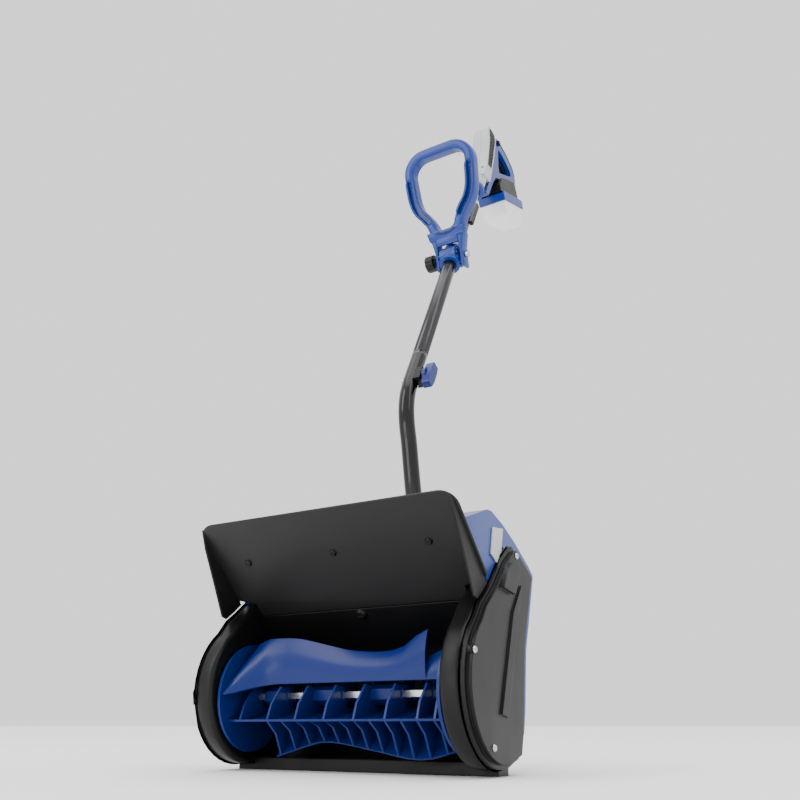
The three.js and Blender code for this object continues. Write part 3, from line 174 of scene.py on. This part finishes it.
def soften(piece, width, segments):
    """Keeps every creased edge crisp. Given a width, in millimetres, it rounds the long ones instead."""
    bm = bmesh.new()
    bm.from_mesh(piece.data)
    weight = bm.edges.layers.float.new("bevel_weight_edge")
    for edge in bm.edges:
        if len(edge.link_faces) == 2 and edge.calc_face_angle() > CREASE:
            if width and edge.calc_length() > 1.3 * width * MM:
                edge[weight] = 1.0
            else:
                edge.smooth = False
    bm.to_mesh(piece.data)
    bm.free()
    if width:
        bevel = piece.modifiers.new("rounded edges", "BEVEL")
        bevel.width = width * MM
        bevel.segments = segments
        bevel.limit_method = "WEIGHT"
        bevel.use_clamp_overlap = False
        bevel.harden_normals = True


def refined(node, material, reshape=None, width=0, segments=0):
    """A CAD node's shape with its flat faces merged, reshaped and rounded where asked."""
    bm = bmesh.new()
    bm.from_mesh(frame["nodes"][node].data)
    bmesh.ops.remove_doubles(bm, verts=bm.verts, dist=0.00002)
    bmesh.ops.dissolve_limit(bm, angle_limit=math.radians(0.3), verts=bm.verts, edges=bm.edges)
    if reshape:
        reshape(bm)
    piece = fresh(node + "_rounded", bm, material, HOME[node])
    soften(piece, width, segments)
    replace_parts(piece, node)


def lathe(name, profile, place, material, body, steps=48):
    """A profile of (radius, height) points, in millimetres, spun about the Z axis of place."""
    bm = bmesh.new()
    verts = [bm.verts.new((r * MM, 0, h * MM)) for r, h in profile]
    edges = [bm.edges.new(pair) for pair in zip(verts, verts[1:])]
    bmesh.ops.spin(
        bm, geom=verts + edges, cent=(0, 0, 0), axis=(0, 0, 1), angle=2 * math.pi, steps=steps, use_merge=True
    )
    bmesh.ops.remove_doubles(bm, verts=bm.verts, dist=0.000002)
    bmesh.ops.transform(bm, matrix=place, verts=bm.verts)
    return fresh(name, bm, material, body)


# ---------- the pole ----------
POLE_LEAN = math.radians(27)
JOINT = (0, 160.3, 622)
TUBE = 12.7
WALL = 1.5


def along(distance):
    """The frame of the upper pole at a distance from the joint: its Z axis runs up the pole."""
    return (
        Matrix.Translation(Vector(JOINT) * MM)
        @ Matrix.Rotation(-POLE_LEAN, 4, "X")
        @ Matrix.Translation((0, 0, distance * MM))
    )


def tube_path(steps=10):
    """Points down the middle of the bent tube: (y, z) in millimetres."""
    foot = Vector((171, 222))
    low = Vector((134.5, 385))
    lean = math.atan2(foot.x - low.x, low.y - foot.y)
    socket = [foot + Vector((-math.sin(lean), math.cos(lean))) * d for d in (0, 60)]
    top = [Vector((JOINT[1] - d * math.tan(POLE_LEAN), JOINT[2] - d)) for d in (72, 0)]
    bend = [Vector(p) for p in ((129, 416), (122.5, 456), (116, 488), (114.7, 512), (117.5, 532))]
    marks = socket + [low] + bend + top
    marks = [2 * marks[0] - marks[1]] + marks + [2 * marks[-1] - marks[-2]]
    path = []
    for a, b, c, d in zip(marks, marks[1:], marks[2:], marks[3:]):
        t0, t1 = 0, math.sqrt((b - a).length)
        t2 = t1 + math.sqrt((c - b).length)
        t3 = t2 + math.sqrt((d - c).length)
        for i in range(steps):
            t = t1 + (t2 - t1) * i / steps
            ab = a.lerp(b, (t - t0) / (t1 - t0))
            bc = b.lerp(c, (t - t1) / (t2 - t1))
            cd = c.lerp(d, (t - t2) / (t3 - t2))
            early = ab.lerp(bc, (t - t0) / (t2 - t0))
            late = bc.lerp(cd, (t - t1) / (t3 - t1))
            path.append(early.lerp(late, (t - t1) / (t2 - t1)))
    return path + [marks[-2]]


def bent_tube(sides=40):
    """The lower tube: a round tube swept along its bent path, open at both ends."""
    path = tube_path()
    bm = bmesh.new()
    tangents = [path[min(i + 1, len(path) - 1)] - path[max(i - 1, 0)] for i in range(len(path))]
    stations = [(p, t, TUBE) for p, t in zip(path, tangents)]
    stations = [(path[0], tangents[0], TUBE - WALL)] + stations + [(path[-1], tangents[-1], TUBE - WALL)]
    loops = []
    for point, tangent, radius in stations:
        side = Vector((tangent.y, -tangent.x)).normalized()
        ring = []
        for k in range(sides):
            angle = 2 * math.pi * k / sides
            out = side * radius * math.sin(angle)
            ring.append(bm.verts.new((radius * math.cos(angle) * MM, (point.x + out.x) * MM, (point.y + out.y) * MM)))
        loops.append([bm.edges.new((ring[k], ring[(k + 1) % sides])) for k in range(sides)])
    for lower, upper in zip(loops, loops[1:]):
        bmesh.ops.bridge_loops(bm, edges=lower + upper)
    return fresh("bent_tube", bm, gloss_coat, "chassis")


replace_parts(bent_tube(), "lower_tube")

# Distances up the pole from its joint, in millimetres.
UPPER = 430
RING = 536
COLLAR = 553.3
TOP = 620
upper_profile = [(TUBE - 2.9, -70), (TUBE - 1.9, -70), (TUBE - 1.9, 0.4), (TUBE - 0.5, 0.4), (TUBE, 0.9)]
upper_profile += [(TUBE, UPPER - 0.8), (TUBE - 0.8, UPPER), (TUBE - WALL, UPPER), (TUBE - WALL, 10)]
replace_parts(lathe("upper_pole_tube", upper_profile, along(0), dark_tube, "chassis"), "upper_tube")
top_profile = [(9.7, UPPER - 30), (10.5, UPPER - 30), (10.5, UPPER + 0.6), (11.6, UPPER + 0.6), (12.3, UPPER + 1.3)]
top_profile += [(12.3, TOP - 1), (11.5, TOP), (9.0, TOP)]
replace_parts(lathe("top_pole_tube", top_profile, along(0), bright_tube, "chassis"), "top_tube")
ring_profile = [(13.0, RING), (19.6, RING), (21.0, RING + 1.4)]
ring_profile += [(21.0, RING + 15.6), (19.6, RING + 17), (13.0, RING + 17)]
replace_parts(lathe("blue_ring", ring_profile, along(0), blue_abs, "chassis"), "collar_ring")
collar_profile = [(13.0, COLLAR), (17.7, COLLAR), (18.5, COLLAR + 0.8), (18.5, 612)]
collar_profile += [(18.5 * math.cos(a), 612 + 14 * math.sin(a)) for a in [i * math.pi / 16 for i in range(1, 8)]]
collar_profile += [(0.5, 626)]
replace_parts(lathe("domed_collar", collar_profile, along(0), grey_abs, "chassis"), "handle_collar")


# ---------- the main handle's cap ----------
DOME_FROM = 1.276  # height where the cap starts to draw in, in metres
DOME_RISE = 0.052


def dome(bm):
    """Draws the sides in towards the top, so that the cap is round."""
    for v in bm.verts:
        rise = max(v.co.z - DOME_FROM, 0) / DOME_RISE
        v.co.x *= math.sqrt(max(1 - 0.62 * rise * rise, 0.05))


refined("handle_shell_right", grey_abs, dome)
refined("handle_shell_left", grey_abs, dome)
refined("right_vent", black_rubber, dome)
refined("left_vent", black_rubber, dome)


# ---------- the D handle ----------
D_BAR = 19
D_DEPTH = 30
D_LEAN = math.radians(39)
D_HINGE = 288  # up the pole from its joint, in millimetres


def d_path():
    """The middle of the rim, as (x, z) in the handle's own frame: a closed loop."""
    half, top, corner, foot, low = 65.5, 222.5, 36.5, 22.6, 47.5
    right = [(foot, low), (foot + 10, low + 34), (half - 5, top - 108)]
    for i in range(10):
        angle = math.radians(-12 + 102 * i / 9)
        right.append((half - corner + corner * math.cos(angle), top - corner + corner * math.sin(angle)))
    loop = [Vector(p) for p in right + [(-x, z) for x, z in reversed(right)]]
    for _ in range(3):
        pairs = list(zip(loop, loop[1:] + loop[:1]))
        loop = [p for a, b in pairs for p in (a.lerp(b, 0.25), a.lerp(b, 0.75))]
    return loop


def d_section():
    """Half-round bar with a channel along its front: (across, depth, how far the channel moves it)."""
    w, d, r = D_BAR / 2, D_DEPTH / 2, 6.5
    corners = [(w - r, d - r, 0), (-w + r, d - r, 90), (-w + r, -d + r, 180), (w - r, -d + r, 270)]
    points = []
    for cx, cy, start in corners:
        for i in range(6):
            angle = math.radians(start + 18 * i)
            points.append((cx + r * math.cos(angle), cy + r * math.sin(angle), 0.0))
        if start == 180:
            points += [(-3.0, -d, 0.0), (-2.4, -d, 1.0), (2.4, -d, 1.0), (3.0, -d, 0.0)]
    return points


def d_rim(bm):
    """The rim: the bar's section carried round the loop. Its channel is cut only in the two legs."""
    path = d_path()
    rings = []
    for i, p in enumerate(path):
        tangent = (path[(i + 1) % len(path)] - path[i - 1]).normalized()
        normal = Vector((tangent.y, -tangent.x))
        leg = min(max((p.y - 74) / 6, 0), 1) * min(max((178 - p.y) / 6, 0), 1)
        ring = []
        for across, depth, moved in d_section():
            spot = p + normal * across * (1.0 if depth > -14 else 1 + 0.9 * leg)
            y = depth + moved * 10 * leg
            if p.y < 66 and abs(p.x) < 22:
                y = min(y, 5)
            ring.append(bm.verts.new((spot.x * MM, y * MM, spot.y * MM)))
        rings.append([bm.edges.new(pair) for pair in zip(ring, ring[1:] + ring[:1])])
    for lower, upper in zip(rings, rings[1:] + rings[:1]):
        bmesh.ops.bridge_loops(bm, edges=lower + upper)


def block(bm, outline, y0, y1, edge):
    """A prism with an (x, z) outline, from y0 to y1, with rounded edges."""
    made = bm.faces.new([bm.verts.new((x * MM, y0 * MM, z * MM)) for x, z in outline])
    grown = bmesh.ops.extrude_face_region(bm, geom=[made], use_keep_orig=True)
    verts = [v for v in grown["geom"] if isinstance(v, bmesh.types.BMVert)]
    bmesh.ops.translate(bm, vec=(0, (y1 - y0) * MM, 0), verts=verts)
    edges = list({e for v in verts + list(made.verts) for e in v.link_edges})
    bmesh.ops.bevel(bm, geom=edges, offset=edge * MM, segments=3, affect="EDGES", profile=0.5, material=-1)


def d_handle():
    """The rim with its two cheeks, the crossbar and the web between the cheeks."""
    bm = bmesh.new()
    d_rim(bm)
    cheek = [(21.5, -24), (28.5, -24), (28.5, 14), (34.5, 42), (27.5, 62), (21.5, 48)]
    block(bm, cheek, -13, 13, 2.2)
    block(bm, [(-x, z) for x, z in reversed(cheek)], -13, 13, 2.2)
    block(bm, [(-36, 37), (36, 37), (41, 56), (-41, 56)], -15, 4, 2.5)
    block(bm, [(-22.5, 24), (22.5, 24), (22.5, 39), (-22.5, 39)], -15, -9.5, 1.2)
    bmesh.ops.transform(bm, matrix=along(D_HINGE) @ Matrix.Rotation(D_LEAN, 4, "X"), verts=bm.verts)
    piece = fresh("d_handle", bm, blue_abs, "aux_d_handle")
    piece.data.set_sharp_from_angle(angle=math.radians(40))
    return piece


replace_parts(d_handle(), "aux_handle")

# ---------- every other piece, from its CAD shape ----------
MADE_OF = {
    "housing_trough": black_abs,
    "right_side_wall": black_abs,
    "left_side_wall": black_abs,
    "deflector": charcoal_pp,
    "deflector_screw_left": black_oxide,
    "deflector_screw_centre": black_oxide,
    "deflector_screw_right": black_oxide,
    "trough_bolt": black_oxide,
    "scraper_bar": black_abs,
    "belt_cover": black_abs,
    "left_end_cover": black_abs,
    "belt_cover_screw_front": zinc,
    "belt_cover_screw_lower": zinc,
    "belt_cover_screw_upper": zinc,
    "right_bearing": zinc,
    "left_bearing": zinc,
    "auger_shaft": hex_steel,
    "right_auger_disc": blue_nylon,
    "left_auger_disc": blue_nylon,
    "lower_paddle": blue_nylon,
    "upper_paddle": blue_nylon,
    "driven_pulley": black_abs,
    "shaft_nut": zinc,
    "drive_belt": black_rubber,
    "motor": zinc,
    "motor_mount": black_abs,
    "motor_shaft": zinc,
    "rear_cover": blue_abs,
    "right_accent_strip": grey_abs,
    "left_accent_strip": grey_abs,
    "pole_socket": black_abs,
    "clamp_saddle": black_abs,
    "clamp_bolt": zinc,
    "clamp_knob": blue_nylon,
    "wire_guard": black_abs,
    "aux_collar": blue_abs,
    "aux_nut": zinc,
    "aux_knob": black_abs,
    "battery_mount": black_abs,
    "battery_contacts": brass,
    "battery_base": blue_abs,
    "battery_case": cloudy_pc,
    "battery_latch": blue_abs,
    "grip_frame": blue_abs,
    "grip_pad": black_rubber,
    "trigger": black_abs,
    "switch_body": grey_abs,
    "lock_button": black_abs,
    "tail_cap": grey_abs,
}
# Width in millimetres and number of steps of each rounded edge.
ROUNDED = {"right_side_wall": (6, 4), "left_side_wall": (6, 4), "deflector": (1.6, 3)}
for node, material in MADE_OF.items():
    width, segments = ROUNDED.get(node, (0, 0))
    refined(node, material, width=width, segments=segments)

# Each CAD node gets the finish of the piece that stands for it.
MADE_OF.update(lower_tube=gloss_coat, upper_tube=dark_tube, top_tube=bright_tube, collar_ring=blue_abs)
MADE_OF.update(handle_collar=grey_abs, handle_shell_right=grey_abs, handle_shell_left=grey_abs)
MADE_OF.update(right_vent=black_rubber, left_vent=black_rubber, aux_handle=blue_abs)
for name, node in frame["nodes"].items():
    node.data.materials.clear()
    node.data.materials.append(MADE_OF[name])


# ---------- camera, light and floor ----------
camera = bpy.data.objects.new("camera", bpy.data.cameras.new("camera"))
bpy.context.scene.collection.objects.link(camera)
camera.location = (0.5849, -0.9053, 0.0525)
camera.rotation_euler = (math.radians(111.932), 0, math.radians(30.320))
camera.data.sensor_width = 36
camera.data.lens = 36.364
bpy.context.scene.camera = camera


def floor():
    """A pale studio floor, wide enough to reach the horizon."""
    bm = bmesh.new()
    bmesh.ops.create_grid(bm, x_segments=8, y_segments=8, size=60)
    mesh = bpy.data.meshes.new("floor")
    bm.to_mesh(mesh)
    bm.free()
    piece = bpy.data.objects.new("floor", mesh)
    bpy.context.scene.collection.objects.link(piece)
    mesh.materials.append(surface("studio floor, matt white paint", "#fdfdfd", 0.9, grain=2, bump=0.01, drift=0.0))


floor()


def softbox(name, place, target, size, power):
    """A rectangular lamp that faces its target. Power in watts."""
    light = bpy.data.lights.new(name, "AREA")
    light.shape = "RECTANGLE"
    light.size, light.size_y = size
    light.energy = power
    lamp = bpy.data.objects.new(name, light)
    bpy.context.scene.collection.objects.link(lamp)
    lamp.location = place
    aim = Vector(target) - Vector(place)
    lamp.rotation_euler = aim.to_track_quat("-Z", "Y").to_euler()


softbox("key", (-1.3, -2.3, 2.4), (0, 0, 0.4), (1.2, 2.0), 34)
softbox("rim", (2.2, -0.6, 2.6), (0, 0, 0.6), (0.7, 2.4), 14)
softbox("low", (-0.4, -2.6, 0.5), (0.1, 0, 0.2), (1.6, 0.5), 9)
ceiling = bpy.data.objects.new("ceiling", bpy.data.lights.new("ceiling", "SUN"))
ceiling.data.energy = 1.5
ceiling.data.angle = math.radians(60)
bpy.context.scene.collection.objects.link(ceiling)

# A plain white studio all round.
world = bpy.data.worlds.new("studio")
world.use_nodes = True
world.node_tree.nodes["Background"].inputs["Color"].default_value = linear("#ffffff")
world.node_tree.nodes["Background"].inputs["Strength"].default_value = 1.35
bpy.context.scene.world = world
